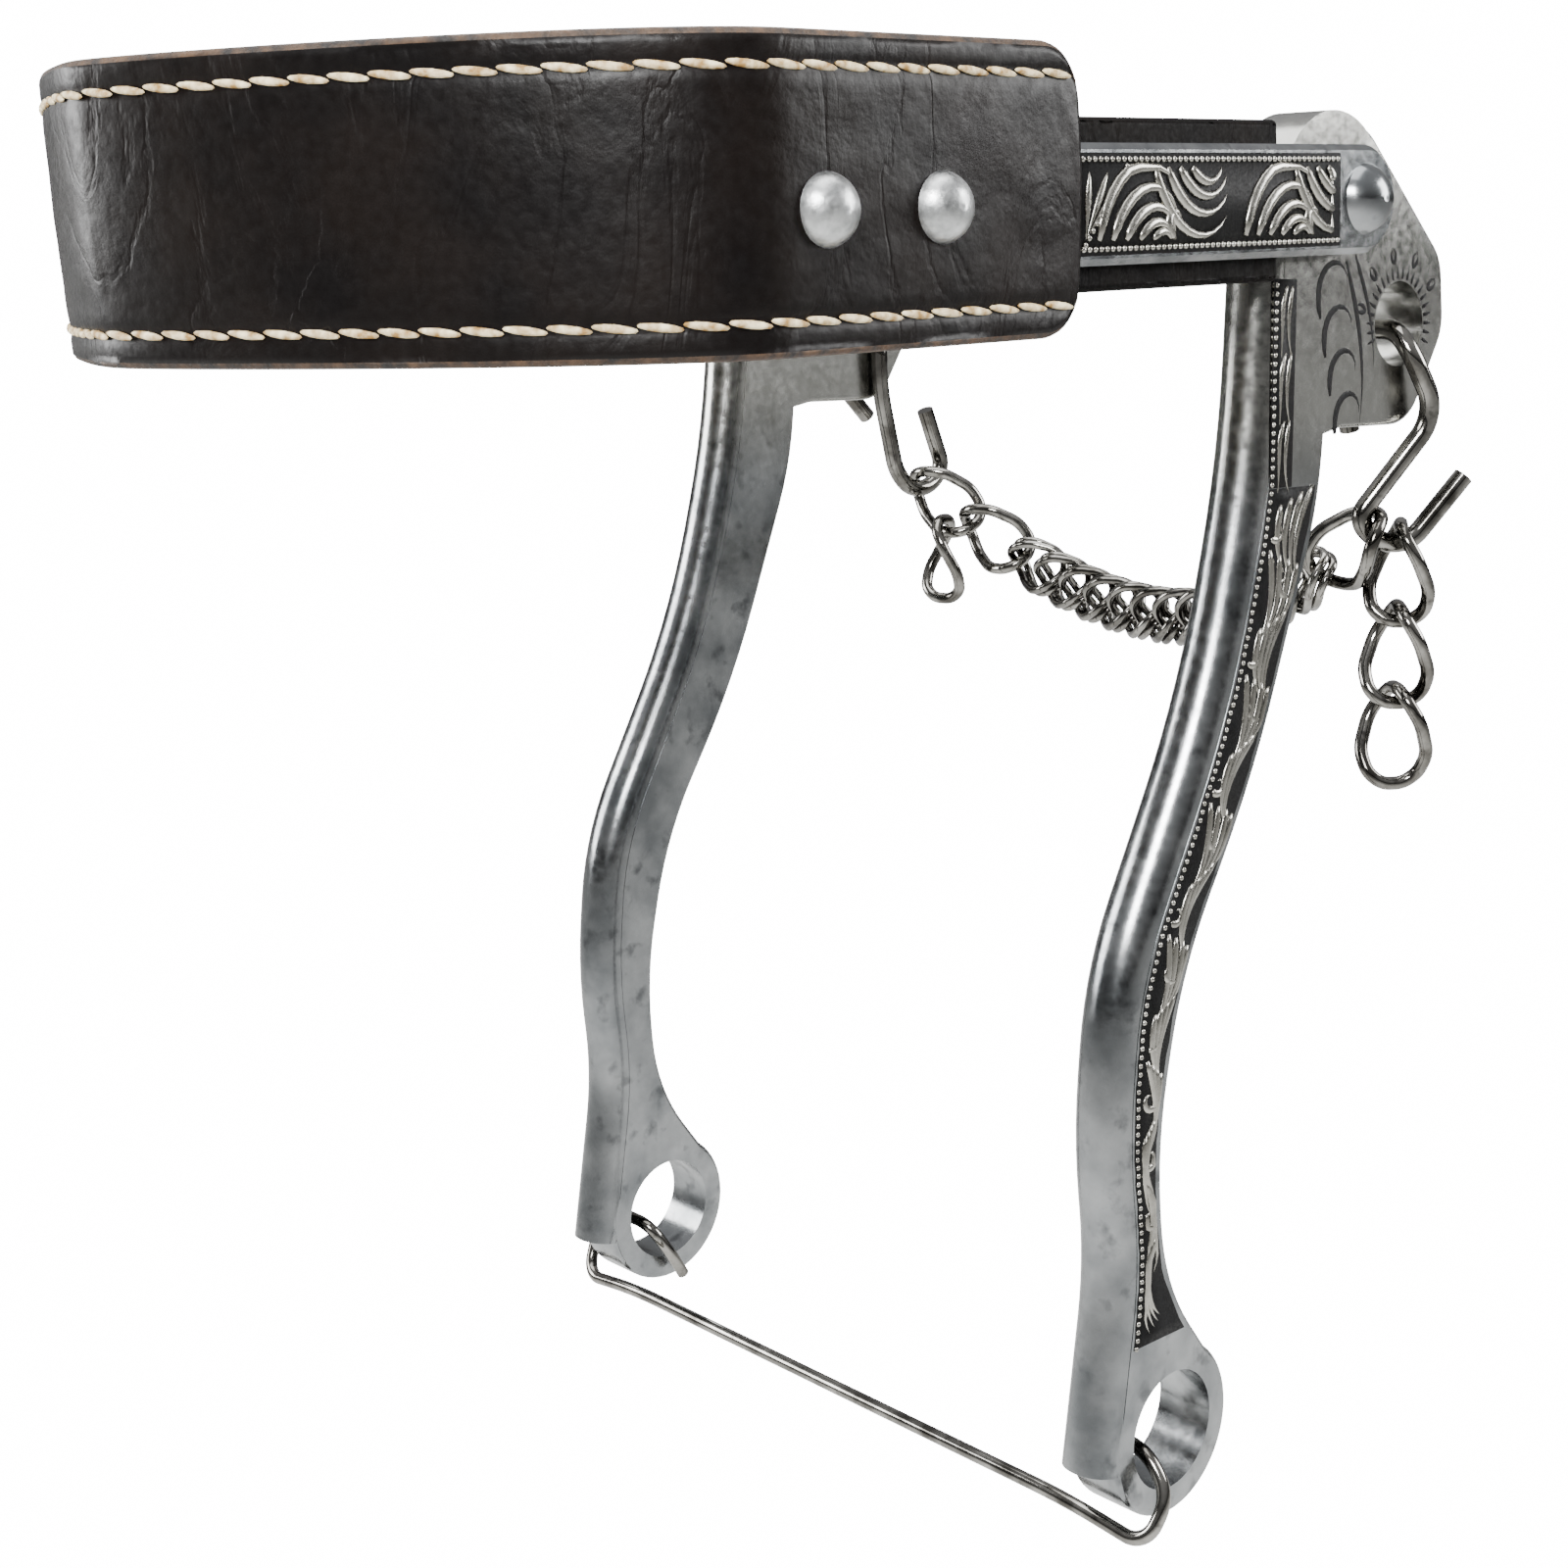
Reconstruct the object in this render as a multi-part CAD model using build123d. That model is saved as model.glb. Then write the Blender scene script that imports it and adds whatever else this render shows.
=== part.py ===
from build123d import *
import math
import os

# Mechanical hackamore: a leather noseband on two arms, two shanks that swing on rivets, a curb chain on
# two wire hooks, and a wire that ties the rein eyes.
# Millimetres. The origin is the middle of the pivot axis, +X is the horse's left side, the nose is
# towards -Y and +Z is up.

# ---- Shanks: one-piece castings, drawn for the left side and mirrored --------------------------------
shank_spacing = 130.0            # between the middle planes of the two shanks
shank_thickness = 10.4
pivot_disc_radius = 14.6         # round head of the shank, about the pivot
rein_eye_drop = 202.0            # pivot down to the middle of the rein eye
rein_eye_forward = 36.2          # and how far it stands in front of the pivot
rein_eye_radius = 10.0
rein_eye_wall = 4.6
front_roll_step = 0.1            # how far the rounded front edge lies inside the flat faces
headstall_hole_radius = 7.3
headstall_hole_back = 20.2       # behind the pivot
headstall_hole_drop = 20.5       # below the pivot
headstall_rim_back = 14.4        # metal between the hole's middle and the rim, towards the back
headstall_rim_below = 17.3
shank_edge_round = 0.9

# ---- Nose arms ---------------------------------------------------------------------------------------
nose_drop = 2.2                  # degrees that the arms and noseband dip towards the nose
arm_height = 17.6
arm_thickness = 3.2
arm_boss_height = 2.8            # boss that holds the arm off the shank
arm_bevel = 1.0
tongue_end = 130.8               # the arm's tongue ends this far in front of the pivot
side_gap = 0.3                   # between the boss and the shank, and under the rivet's inner head

# ---- Pivot rivets ------------------------------------------------------------------------------------
pivot_pin_radius = 3.0
pivot_running_gap = 0.05         # radial clearance of the shank on its rivet
pivot_dome_radius = 5.8
pivot_dome_height = 3.8
pivot_tail_radius = 4.6
pivot_tail_height = 1.6

# ---- Noseband ----------------------------------------------------------------------------------------
band_height = 41.0
band_rise = 2.0                  # middle of the band above the middle of the arm
band_back_end = 76.0             # the leather ends this far in front of the pivot
band_bend_start = tongue_end     # the sides run straight to here
band_nose = 187.0                # foremost point of the outside
band_bend_pull = 26.0            # how far ahead the sides pull the bend
band_nose_flat = 14.0            # and how far to each side the nose pulls it
band_lean = 3.4                  # the bottom edge lies this much further back than the top, at the nose
leather_thickness = 3.3
lining_thickness = 2.5
lining_tail_height = 25.4
lining_tail_end = 20.5           # the lining's tails end here, in front of the shanks
band_corner_radius = 7.0

# ---- Noseband rivets ---------------------------------------------------------------------------------
rivet_places = (104.0, 125.2)    # in front of the pivot
rivet_dome_radius = 5.0
rivet_dome_height = 4.2
rivet_pin_radius = 2.0
burr_radius = 4.6
burr_thickness = 0.9
rivet_peen_height = 0.8

# ---- Curb hooks --------------------------------------------------------------------------------------
hook_wire_radius = 1.75
hook_gap = 0.35                  # between the hook's two legs and the faces of the shank
hook_seat_back = 21.5            # the hook's crown, behind the pivot
hook_crown_rise = 6.2            # middle of the crown's wire above the lower edge of the headstall hole
hook_bend_radius = 7.3

# ---- Curb chain --------------------------------------------------------------------------------------
end_link_half_length = 8.55      # to the middle of the wire
end_link_half_width = 5.8
end_link_wire_radius = 1.2
end_link_twist = 50.0
pair_count = 12
pair_half_length = 6.65
pair_half_width = 4.95
pair_wire_radius = 0.84
pair_twist = 48.5
pair_split = 1.0                 # each ring's distance from the middle of its pair
link_gap = 0.2                   # between the wires of two links
link_squareness = 2.4            # 2 is an ellipse, more is squarer
link_corners = 12
chain_seat_right = 286.0         # degrees round the bend of the hook, 270 at its bottom
chain_seat_left = 227.5
tail_seat_left = 279.2
droop_right = (43.8, 17.5, -33.2)    # pull of the drooping line at its right and left ends
droop_left = (-30, 2, -24.6)
tail_azimuth_left = -9.4         # degrees, level direction that a hanging ring faces
tail_azimuth_step = 10.0
tail_azimuth_right = 150.0
tail_holder_angle = -64.0        # degrees round the outer right ring

# ---- Spreader wire -----------------------------------------------------------------------------------
spreader_wire_radius = 1.2
spreader_eye_gap = 2.0           # from the shank's faces to the wrapped ends

# ---- Worked-out planes -------------------------------------------------------------------------------
shank_mid = shank_spacing / 2
shank_outer = shank_mid + shank_thickness / 2
shank_inner = shank_mid - shank_thickness / 2
boss_inner = shank_outer + side_gap
arm_inner = boss_inner + arm_boss_height
arm_outer = arm_inner + arm_thickness
band_outer = arm_outer + leather_thickness
lining_inner = arm_inner - lining_thickness
rein_eye = (-rein_eye_forward, -rein_eye_drop)
headstall_hole = (headstall_hole_back, -headstall_hole_drop)


def rounded_path(points, closed=False):
    """Straight runs joined by tangent arcs, each as large as its two runs allow."""
    count = len(points)
    corners = range(count) if closed else range(1, count - 1)
    radii = []
    for i in corners:
        before = Vector(*points[i]) - Vector(*points[i - 1])
        after = Vector(*points[(i + 1) % count]) - Vector(*points[i])
        half_turn = math.radians(before.get_angle(after)) / 2
        radii.append(0.45 * min(before.length, after.length) / math.tan(half_turn))
    return FilletPolyline(*points, radius=radii, close=closed)


def swept(path, radius):
    """A round section swept along an open path."""
    section = Plane(origin=path @ 0, z_dir=path % 0) * Circle(radius)
    return sweep(section, path=path)


def wire_solid(points, radius, closed=False):
    """A round wire along a rounded path; a closed one is swept in two halves."""
    path = rounded_path(points, closed)
    if not closed:
        return swept(path, radius)
    edges = path.wire().order_edges()
    half = len(edges) // 2
    return swept(Wire(edges[:half]), radius) + swept(Wire(edges[half:]), radius)


def cylinder_x(x_from, x_to, y, z, radius):
    """A cylinder along X between two planes."""
    start = Plane.YZ.offset(x_from) * Pos(y, z)
    return extrude(start * Circle(radius), x_to - x_from)


def dome_x(x_base, y, z, radius, height):
    """A rivet head: a cap of a sphere on a flat base, bulging towards +X."""
    sphere_radius = (radius ** 2 + height ** 2) / (2 * height)
    half_angle = math.acos(1 - height / sphere_radius) / 2
    middle = (height - sphere_radius * (1 - math.cos(half_angle)), sphere_radius * math.sin(half_angle))
    arc = ThreePointArc((0, radius), middle, (height, 0))
    profile = make_face([Line((0, 0), (0, radius)), arc, Line((height, 0), (0, 0))])
    return Pos(x_base, y, z) * revolve(profile, Axis.X)


def tilted(shape):
    """Dip a level shape towards the nose, about the pivot axis."""
    return Rot(nose_drop, 0, 0) * shape


def mirrored(shape):
    """The same shape on the horse's right side."""
    return mirror(shape, about=Plane.YZ)


# ---- Shanks ------------------------------------------------------------------------------------------
def shank_front_line():
    """Middle of the rounded front edge, from the pivot down to the rein eye, in Y and Z."""
    drop = rein_eye_drop
    eye_y = -rein_eye_forward
    return [
        (eye_y + 23.2, -0.020 * drop),
        (eye_y + 21.6, -0.208 * drop),
        (eye_y + 11.7, -0.406 * drop),
        (eye_y - 10.3, -0.614 * drop),
        (eye_y - 12.3, -0.743 * drop),
        (eye_y - 9.3, -0.851 * drop),
        (eye_y - 14.0, -1.018 * drop),
    ]


def shank_rear_line():
    """Rear edge, from the rein eye up to the headstall plate, in Y and Z."""
    drop = rein_eye_drop
    eye_y = -rein_eye_forward
    return [
        (eye_y + 13.4, -0.972 * drop),
        (eye_y - 2.3, -0.872 * drop),
        (eye_y - 4.8, -0.752 * drop),
        (eye_y + 0.7, -0.614 * drop),
        (eye_y + 18.7, -0.465 * drop),
        (eye_y + 34.7, -0.248 * drop),
        (eye_y + 36.2, -0.150 * drop),
    ]


def front_line_y(z):
    """Y of the front line's runs at a height."""
    points = shank_front_line()
    for (upper_y, upper_z), (lower_y, lower_z) in zip(points, points[1:]):
        if z >= lower_z:
            return upper_y + (lower_y - upper_y) * (z - upper_z) / (lower_z - upper_z)
    return points[-1][0]


def headstall_plate():
    """Face of the plate behind the pivot that carries the headstall hole."""
    hole_y, hole_z = headstall_hole
    back = hole_y + headstall_rim_back
    low = hole_z - headstall_rim_below
    corners = [
        (-11.5, -6.0),
        (-2.0, pivot_disc_radius - 1.0),
        (9.0, pivot_disc_radius - 1.8),
        (back - 1.4, hole_z + 11.5),
        (back, hole_z - 1.0),
        (back - 10.0, low),
        (4.0, low),
        (-11.5, low - 3.0),
    ]
    radii = [0.0, 3.0, 12.0, 8.0, 9.0, 9.0, 3.0, 0.0]
    return make_face(FilletPolyline(*corners, radius=radii, close=True))


def is_rim_edge(edge):
    """True for edges of the flat casting that the rounded front edge doesn't cover."""
    middle = edge @ 0.5
    return middle.Y > front_line_y(middle.Z) + 3.0


def make_shank():
    """Left shank: flat casting with a rounded front edge, a headstall hole and a rein eye."""
    front = shank_front_line()
    blade_path = rounded_path(front) + Polyline(front[-1], rein_eye, shank_rear_line()[0])
    blade_path += rounded_path(shank_rear_line())
    blade_path += Line(shank_rear_line()[-1], front[0])
    outline = make_face(blade_path)
    outline += Circle(pivot_disc_radius)
    outline += headstall_plate()
    outline += Pos(*rein_eye) * Circle(rein_eye_radius + rein_eye_wall)
    blade = extrude(Plane.YZ.offset(shank_inner) * outline, shank_thickness)
    rim = [edge for edge in blade.edges().filter_by(Plane.YZ) if is_rim_edge(edge)]
    blade = fillet(rim, shank_edge_round)
    roll_radius = shank_thickness / 2 - front_roll_step
    roll_points = [(shank_mid, y, z) for y, z in front]
    roll = wire_solid(roll_points, roll_radius)
    ends = Pos(*roll_points[0]) * Sphere(roll_radius) + Pos(*roll_points[-1]) * Sphere(roll_radius)
    shank = blade + roll + ends
    through = (shank_inner - 2, shank_outer + 2)
    shank -= cylinder_x(*through, 0, 0, pivot_pin_radius + pivot_running_gap)
    shank -= cylinder_x(*through, *headstall_hole, headstall_hole_radius)
    shank -= cylinder_x(*through, *rein_eye, rein_eye_radius)
    return shank


# ---- Nose arms and pivots ----------------------------------------------------------------------------
def make_arm():
    """Left nose arm: a bevelled bar with a rounded pivot end, a boss inside and holes for the rivets."""
    bar = Pos(-tongue_end / 2, 0) * Rectangle(tongue_end, arm_height) + Circle(arm_height / 2)
    arm = extrude(Plane.YZ.offset(arm_inner) * bar, arm_thickness)
    arm = chamfer(arm.faces().sort_by(Axis.X)[-1].edges(), arm_bevel)
    arm += cylinder_x(boss_inner, arm_inner, 0, 0, arm_height / 2)
    arm -= cylinder_x(boss_inner - 1, arm_outer + 1, 0, 0, pivot_pin_radius)
    for place in rivet_places:
        arm -= cylinder_x(arm_inner - 1, arm_outer + 1, -place, 0, rivet_pin_radius)
    return tilted(arm)


def make_pivot_rivet():
    """Left pivot rivet: domed head outside, pin through arm and shank, closed head inside."""
    tail_face = shank_inner - side_gap
    rivet = cylinder_x(tail_face, arm_outer, 0, 0, pivot_pin_radius)
    rivet += dome_x(arm_outer, 0, 0, pivot_dome_radius, pivot_dome_height)
    rivet += cylinder_x(tail_face - pivot_tail_height, tail_face, 0, 0, pivot_tail_radius)
    return rivet


# ---- Noseband ----------------------------------------------------------------------------------------
def band_outline(inset, back_end, nose_shift):
    """Half-loop line in plan, this far inside the band's outer face."""
    half_width = band_outer - inset
    nose = band_nose - inset - nose_shift
    bend = band_bend_start
    pull = bend + band_bend_pull
    flat = band_nose_flat
    ends = ((-half_width, -bend), (-half_width, -pull), (-flat, -nose), (0, -nose))
    front_right = Bezier(*ends)
    front_left = Bezier(*[(-x, y) for x, y in reversed(ends)])
    left = Line((half_width, -bend), (half_width, -back_end))
    right = Line((-half_width, -back_end), (-half_width, -bend))
    return right, front_right, front_left, left


def band_face(outer_inset, inner_inset, back_end, nose_shift):
    """Plan section of one layer of the band."""
    outside = band_outline(outer_inset, back_end, nose_shift)
    inside = band_outline(inner_inset, back_end, nose_shift)
    right_cap = Line(outside[0].position_at(0), inside[0].position_at(0))
    left_cap = Line(outside[-1].position_at(1), inside[-1].position_at(1))
    return make_face([*outside, left_cap, *inside, right_cap])


def band_layer(outer_inset, inner_inset, back_end):
    """One layer of the band, level, with the nose end leaning back towards the bottom."""
    low = band_rise - band_height / 2
    bottom = Pos(0, 0, low) * band_face(outer_inset, inner_inset, back_end, band_lean)
    top = Pos(0, 0, low + band_height) * band_face(outer_inset, inner_inset, back_end, 0)
    return loft([bottom, top], ruled=True)


def rivet_holes(x_from, x_to):
    """The four holes of the noseband rivets, level."""
    holes = Part()
    for place in rivet_places:
        hole = cylinder_x(x_from, x_to, -place, 0, rivet_pin_radius)
        holes += hole + mirrored(hole)
    return holes


def corner_cutter():
    """What is taken off both back corners of the leather, level."""
    half = band_height / 2
    radius = band_corner_radius
    cutter = Part()
    for side in (-1, 1):
        z = band_rise + side * (half - radius)
        square = Pos(0, -band_back_end - radius / 2, z + side * radius / 2)
        square *= Box(4 * band_outer, radius, radius)
        drum = Pos(0, -band_back_end - radius, z) * Rot(0, 90, 0) * Cylinder(radius, 5 * band_outer)
        cutter += square - drum
    return cutter


def make_leather():
    """Outer strap."""
    layer = band_layer(0, leather_thickness, band_back_end) - corner_cutter()
    return tilted(layer - rivet_holes(arm_outer - 2, band_outer + 2))


def make_core():
    """Filler between the straps, between the tips of the two tongues."""
    layer = band_layer(leather_thickness, leather_thickness + arm_thickness, band_back_end)
    behind = Pos(0, -tongue_end + 100, 0) * Box(4 * band_outer, 200, 4 * band_height)
    return tilted(layer - behind)


def make_lining():
    """Inner strap, with a narrow tail behind each arm."""
    outer_inset = leather_thickness + arm_thickness
    layer = band_layer(outer_inset, outer_inset + lining_thickness, band_back_end) - corner_cutter()
    tail_length = band_back_end - lining_tail_end
    tail_middle = (lining_inner + lining_thickness / 2, -lining_tail_end - tail_length / 2, 0)
    tail = Pos(*tail_middle) * Box(lining_thickness, tail_length, lining_tail_height)
    lining = layer + tail + mirrored(tail)
    return tilted(lining - rivet_holes(lining_inner - 2, arm_inner + 2))


def make_noseband_rivets():
    """Four domed rivets; the pins end in a low closed head past the burrs."""
    rivets = Part()
    pin_end = lining_inner - burr_thickness - rivet_peen_height
    for place in rivet_places:
        rivet = cylinder_x(pin_end, band_outer, -place, 0, rivet_pin_radius)
        rivet += dome_x(band_outer, -place, 0, rivet_dome_radius, rivet_dome_height)
        rivets += rivet + mirrored(rivet)
    return tilted(rivets)


def make_noseband_burrs():
    """Four washers against the lining."""
    burrs = Part()
    for place in rivet_places:
        burr = cylinder_x(lining_inner - burr_thickness, lining_inner, -place, 0, burr_radius)
        burr -= cylinder_x(lining_inner - 3, lining_inner + 1, -place, 0, rivet_pin_radius)
        burrs += burr + mirrored(burr)
    return tilted(burrs)


# ---- Curb hooks --------------------------------------------------------------------------------------
def hole_floor(y):
    """Height of the lower edge of the headstall hole."""
    across = y - headstall_hole_back
    return -headstall_hole_drop - math.sqrt(headstall_hole_radius ** 2 - across ** 2)


def bend_middle(side):
    """Middle of the lower bend of a hook."""
    if side > 0:
        return Vector(shank_mid + 4.5, hook_seat_back + 0.5, hole_floor(hook_seat_back) - 23.5)
    return Vector(-shank_inner + hook_wire_radius + hook_gap, hook_seat_back + 12.6,
                  hole_floor(hook_seat_back) - 22.3)


def bend_direction(side):
    """Level direction in which the lower bend of a hook opens."""
    return Vector(0.5, 0.866, 0) if side > 0 else Vector(0, 1, 0)


def bend_point(side, degrees, radius):
    """A point about the middle of the lower bend."""
    turn = math.radians(degrees)
    level = bend_direction(side) * (radius * math.cos(turn))
    return bend_middle(side) + level + Vector(0, 0, radius * math.sin(turn))


def make_hook(side):
    """A curb hook: a crown over the rim of the headstall hole and an open bend below it."""
    leg = shank_thickness / 2 + hook_gap + hook_wire_radius
    middle = side * shank_mid
    floor = hole_floor(hook_seat_back)
    crown = floor + hook_crown_rise
    seat = hook_seat_back
    if side > 0:
        stub_end = (middle - leg, seat + 3.5, floor - 11.8)
        stub_top = (middle - leg, seat + 0.4, floor - 3.0)
        shoulder = [(middle + leg + 1.7, seat + 5.5, floor - 8.3)]
        steps = (202.5, 247.5, 292.5)
        tip = bend_middle(side) + Vector(6.8, 10.5, 4.2)
    else:
        stub_end = (middle - leg, seat + 11.0, floor - 14.5)
        stub_top = (middle - leg, seat - 1.0, floor - 3.5)
        shoulder = [(middle + leg, seat + 0.5, floor - 8.0)]
        steps = (202.5, 247.5, 292.5, 337.5)
        tip = bend_middle(side) + Vector(0, 1.6, 9.6)
    points = [stub_end, stub_top]
    points += [(middle - leg, seat, crown - 4.4), (middle - leg + 3.4, seat, crown)]
    points += [(middle + leg - 3.4, seat, crown), (middle + leg, seat, crown - 4.4)]
    points += shoulder
    corner_radius = hook_bend_radius / math.cos(math.radians(22.5))
    points += [tuple(bend_point(side, step, corner_radius)) for step in steps]
    points.append(tuple(tip))
    return wire_solid(points, hook_wire_radius)


# ---- Curb chain --------------------------------------------------------------------------------------
def link_point(angle, half_length, half_width, twist, split):
    """A point of a link's middle line: a squarish oval, twisted along its length."""
    cosine = math.cos(angle)
    sine = math.sin(angle)
    power = 2 / link_squareness
    along = half_length * math.copysign(abs(cosine) ** power, cosine)
    across = half_width * math.copysign(abs(sine) ** power, sine)
    turn = -math.radians(twist) * along / half_length
    level = across * math.cos(turn) - split * math.sin(turn)
    out = across * math.sin(turn) + split * math.cos(turn)
    return Vector(along, level, out)


def make_link(place, half_length, half_width, twist, wire_radius, split=0.0):
    """A closed link of round wire; place is a plane with X along the chain and Y across the link."""
    swell = 1 / math.cos(math.pi / link_corners)
    points = []
    for i in range(link_corners):
        angle = 2 * math.pi * (i + 0.5) / link_corners
        local = link_point(angle, half_length * swell, half_width * swell, twist, split)
        points.append(tuple(place.from_local_coords(local)))
    return wire_solid(points, wire_radius, closed=True)


def make_end_link(place):
    return make_link(place, end_link_half_length, end_link_half_width, end_link_twist,
                     end_link_wire_radius)


def make_pair(place):
    """Two rings side by side."""
    size = (pair_half_length, pair_half_width, pair_twist, pair_wire_radius)
    return make_link(place, *size, split=pair_split) + make_link(place, *size, split=-pair_split)


def hanging_place(middle, azimuth):
    """Plane of a link that hangs straight down, its middle section facing along an azimuth."""
    turn = math.radians(azimuth)
    down = Vector(0, 0, -1)
    across = Vector(math.cos(turn), math.sin(turn), 0)
    return Plane(origin=middle, x_dir=down, z_dir=down.cross(across))


def hooked(outer_radius, inner_radius):
    """Distance between the middles of two wires that hang on each other."""
    return outer_radius + inner_radius + link_gap


hook_hold = hooked(hook_wire_radius, end_link_wire_radius)
end_hold = hooked(end_link_wire_radius, end_link_wire_radius)
pair_hold = hooked(end_link_wire_radius, pair_wire_radius)
tail_step = 2 * end_link_half_length - end_hold


def chain_curve():
    """The line in which the chain droops, from the bend of the right hook to that of the left."""
    start = bend_point(-1, chain_seat_right, hook_bend_radius)
    end = bend_point(1, chain_seat_left, hook_bend_radius)
    return Bezier(start, start + Vector(*droop_right), end + Vector(*droop_left), end)


def chain_place(curve, distance):
    """Plane at a distance along the droop: X along the chain, Y across it and upwards."""
    share = distance / curve.length
    along = curve % share
    up = Vector(0, 0, 1)
    across = (up - along * along.dot(up)).normalized()
    return Plane(origin=curve @ share, x_dir=along, z_dir=along.cross(across))


def make_chain():
    """Every link between the two hooks, by node name, in the order in which they hold each other."""
    curve = chain_curve()
    first = end_link_half_length - hook_hold
    links = {
        "chain_ring_right_outer": make_end_link(chain_place(curve, first)),
        "chain_ring_right_inner": make_end_link(chain_place(curve, first + tail_step)),
    }
    pair_reach = end_link_half_length + pair_half_length - pair_hold
    start = first + tail_step + pair_reach
    end = curve.length - first - pair_reach
    step = (end - start) / (pair_count - 1)
    for i in range(pair_count):
        links[f"chain_pair_{i + 1:02d}"] = make_pair(chain_place(curve, start + i * step))
    links["chain_ring_left"] = make_end_link(chain_place(curve, curve.length - first))
    return links, step


def make_tails():
    """The loose end links: three hang from the left hook and one from the outer right ring."""
    tails = {}
    seat = bend_point(1, tail_seat_left, hook_bend_radius)
    middle = seat + Vector(0, 0, hook_hold - end_link_half_length)
    for i, place in enumerate(("upper", "middle", "lower")):
        azimuth = tail_azimuth_left + i * tail_azimuth_step
        tails[f"tail_ring_left_{place}"] = make_end_link(hanging_place(middle, azimuth))
        middle = middle - Vector(0, 0, tail_step)
    first = chain_place(chain_curve(), end_link_half_length - hook_hold)
    turn = math.radians(tail_holder_angle)
    size = (end_link_half_length, end_link_half_width, end_link_twist)
    holder = first.from_local_coords(link_point(turn, *size, 0))
    middle = holder - Vector(0, 0, end_link_half_length - end_hold)
    tails["tail_ring_right"] = make_end_link(hanging_place(middle, tail_azimuth_right))
    return tails


# ---- Spreader wire -----------------------------------------------------------------------------------
def make_spreader():
    """Straight wire in front of the rein eyes, each end wrapped round the bottom of its eye."""
    eye_y, eye_z = rein_eye
    outside = shank_outer + spreader_eye_gap + spreader_wire_radius
    inside = shank_inner - spreader_eye_gap - spreader_wire_radius
    low = eye_z - rein_eye_radius - rein_eye_wall
    half = [
        (inside + 0.5, eye_y - 11.3, low + 1.3),
        (outside, eye_y - 10.6, low - 0.9),
        (outside + 1.6, eye_y - 6.8, eye_z - 7.5),
        (shank_outer - 0.2, eye_y - 6.3, eye_z - 1.6),
        (shank_inner - 1.2, eye_y - 6.3, eye_z - 1.4),
        (inside - 0.2, eye_y - 2.4, eye_z - 8.0),
        (inside, eye_y + 1.0, low + 1.4),
    ]
    right_half = [(-x, y, z) for x, y, z in half]
    return wire_solid(right_half[::-1] + half, spreader_wire_radius)


def main():
    os.makedirs("parts", exist_ok=True)
    links, step = make_chain()
    shank = make_shank()
    arm = make_arm()
    pivot_rivet = make_pivot_rivet()
    nodes = {
        "noseband_leather": make_leather(),
        "noseband_core": make_core(),
        "noseband_lining": make_lining(),
        "noseband_rivets": make_noseband_rivets(),
        "noseband_burrs": make_noseband_burrs(),
        "nose_arm_left": arm,
        "nose_arm_right": mirrored(arm),
        "pivot_rivets": pivot_rivet + mirrored(pivot_rivet),
        "shank_left": shank,
        "shank_right": mirrored(shank),
        "curb_hook_left": make_hook(1),
        "curb_hook_right": make_hook(-1),
        "spreader_wire": make_spreader(),
    }
    nodes.update(links)
    nodes.update(make_tails())
    for name, shape in nodes.items():
        export_step(shape, f"parts/{name}.step")
    print(f"{len(nodes)} nodes, chain step {step:.2f} mm")


main()
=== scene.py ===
"""Western mechanical hackamore: stitched noseband, engraved arms and shanks, curb chain and wire."""
import logging
import math
from dataclasses import dataclass
from enum import Enum
from typing import Callable, Sequence

import bmesh
import bpy
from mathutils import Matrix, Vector, noise
from mathutils.bvhtree import BVHTree


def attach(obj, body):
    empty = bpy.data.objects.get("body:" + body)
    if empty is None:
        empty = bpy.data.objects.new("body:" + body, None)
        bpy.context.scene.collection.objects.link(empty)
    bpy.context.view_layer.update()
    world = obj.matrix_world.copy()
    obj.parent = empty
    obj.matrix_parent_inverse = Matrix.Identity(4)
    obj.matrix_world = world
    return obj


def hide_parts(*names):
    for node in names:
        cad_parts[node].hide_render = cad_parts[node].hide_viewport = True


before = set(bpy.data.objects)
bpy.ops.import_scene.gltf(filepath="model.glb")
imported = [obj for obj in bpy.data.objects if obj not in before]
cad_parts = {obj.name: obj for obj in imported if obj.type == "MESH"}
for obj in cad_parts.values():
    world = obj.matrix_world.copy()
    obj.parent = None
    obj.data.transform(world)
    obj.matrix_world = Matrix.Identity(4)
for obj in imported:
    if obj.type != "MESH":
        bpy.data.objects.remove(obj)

MM = 0.001
LOG = logging.getLogger("hackamore")


class Side(Enum):
    """The horse's left is +X, its right is -X."""

    LEFT = 1
    RIGHT = -1


# ---- Helpers ------------------------------------------------------------------------------------------
def linear(colour: str) -> tuple[float, float, float, float]:
    """Turn an sRGB hex colour into linear RGBA.

    Args:
        colour: six hex digits, with or without a leading hash.
    Returns:
        Linear red, green, blue and an alpha of 1.
    """
    digits = colour.lstrip("#")
    parts = [int(digits[i:i + 2], 16) / 255 for i in (0, 2, 4)]
    parts = [p / 12.92 if p <= 0.04045 else ((p + 0.055) / 1.055) ** 2.4 for p in parts]
    return parts[0], parts[1], parts[2], 1.0


def add_node(tree: bpy.types.NodeTree, kind: str, inputs: dict | None = None,
             **settings: object) -> bpy.types.Node:
    """Add a node with its settings, values and links.

    Args:
        tree: the tree that gets the node.
        kind: the node's type name.
        inputs: socket name or number to a value, or to an output socket to link from.
        settings: the node's own properties.
    Returns:
        The new node.
    """
    node = tree.nodes.new(kind)
    for name, value in settings.items():
        setattr(node, name, value)
    for key, value in (inputs or {}).items():
        socket = node.inputs[key]
        if isinstance(value, bpy.types.NodeSocket):
            tree.links.new(value, socket)
        else:
            socket.default_value = value
    return node


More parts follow.
